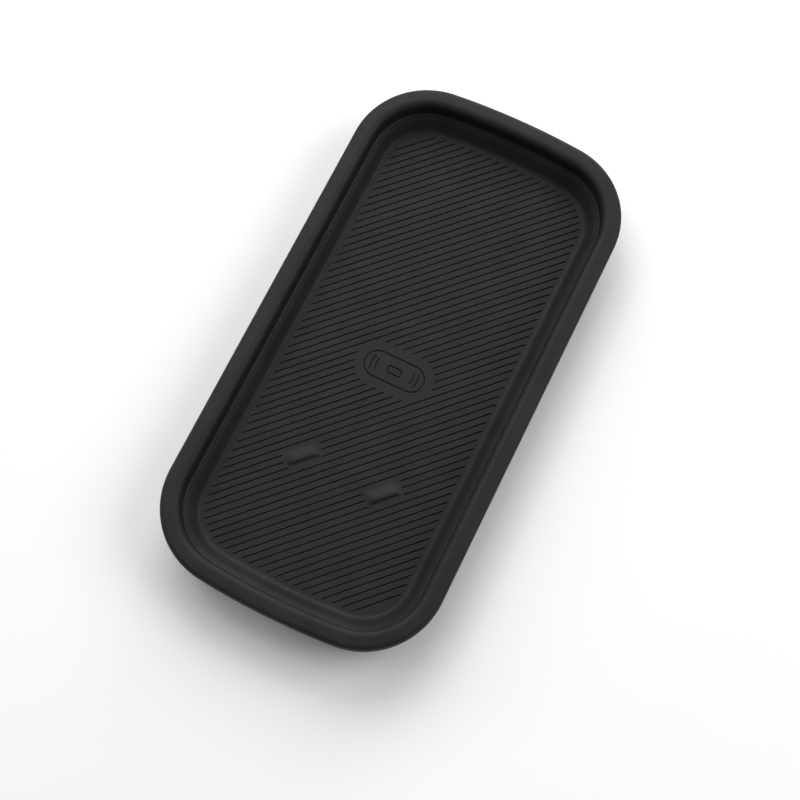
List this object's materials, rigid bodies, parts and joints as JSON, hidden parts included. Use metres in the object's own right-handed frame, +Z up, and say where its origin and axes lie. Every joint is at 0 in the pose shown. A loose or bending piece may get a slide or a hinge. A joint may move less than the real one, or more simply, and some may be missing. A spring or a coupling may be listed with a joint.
{
  "type": "wireless charging pad",
  "caption": "Rounded oblong wireless charging pad for a phone: a soft grooved tray liner with a rolled rim that lifts off a flat hard housing with a power inlet.",
  "frame": {"origin": "centre of the underside, in the plane of the feet on which the pad stands", "axes": "+X across the pad, +Y along it towards the end with the power inlet, +Z up out of the tray"},
  "size_m": [0.1026, 0.2, 0.0222],
  "materials": {
    "liner_silicone": "matte",
    "housing_plastic": "matte",
    "screw_steel": "satin",
    "foot_rubber": "matte",
    "shield_aluminium": "satin",
    "ferrite": "matte",
    "coil_copper": "satin",
    "carrier_plastic": "matte",
    "thermistor_glaze": "satin",
    "board_laminate": "satin",
    "chip_package": "matte",
    "capacitor_ceramic": "satin",
    "inductor_shield": "matte",
    "crystal_can": "satin",
    "led_package": "gloss",
    "thermal_silicone": "matte",
    "light_pipe_acrylic": "satin",
    "port_steel": "satin",
    "port_plastic": "matte",
    "contact_gold": "polished"
  },
  "bodies": {
    "housing": {"upper_housing": "housing_plastic", "lower_housing": "housing_plastic", "housing_screws": "screw_steel", "board_screws": "screw_steel", "foot_front_left": "foot_rubber", "foot_front_right": "foot_rubber", "foot_rear_left": "foot_rubber", "foot_rear_right": "foot_rubber", "shield_plate": "shield_aluminium", "ferrite_plate": "ferrite", "charging_coil_front": "coil_copper", "charging_coil_middle": "coil_copper", "charging_coil_rear": "coil_copper", "coil_carrier": "carrier_plastic", "coil_thermistor": "thermistor_glaze", "coil_leads": "coil_copper", "main_circuit_board": "board_laminate", "controller_chip": "chip_package", "gate_driver_chip": "chip_package", "inverter_transistors": "chip_package", "coil_selector_transistors": "chip_package", "resonant_capacitors": "capacitor_ceramic", "input_capacitors": "capacitor_ceramic", "power_inductor": "inductor_shield", "clock_crystal": "crystal_can", "status_led": "led_package", "board_thermal_pad": "thermal_silicone", "light_pipe": "light_pipe_acrylic", "usb_c_shell": "port_steel", "usb_c_tongue": "port_plastic", "usb_c_contacts": "contact_gold"},
    "tray": {"tray_liner": "liner_silicone"}
  },
  "joints": [
    {"name": "liner_lift_off", "type": "slide", "parent": "housing", "child": "tray", "axis": [0, 0, 1], "range_m": [0, 0.03]}
  ]
}
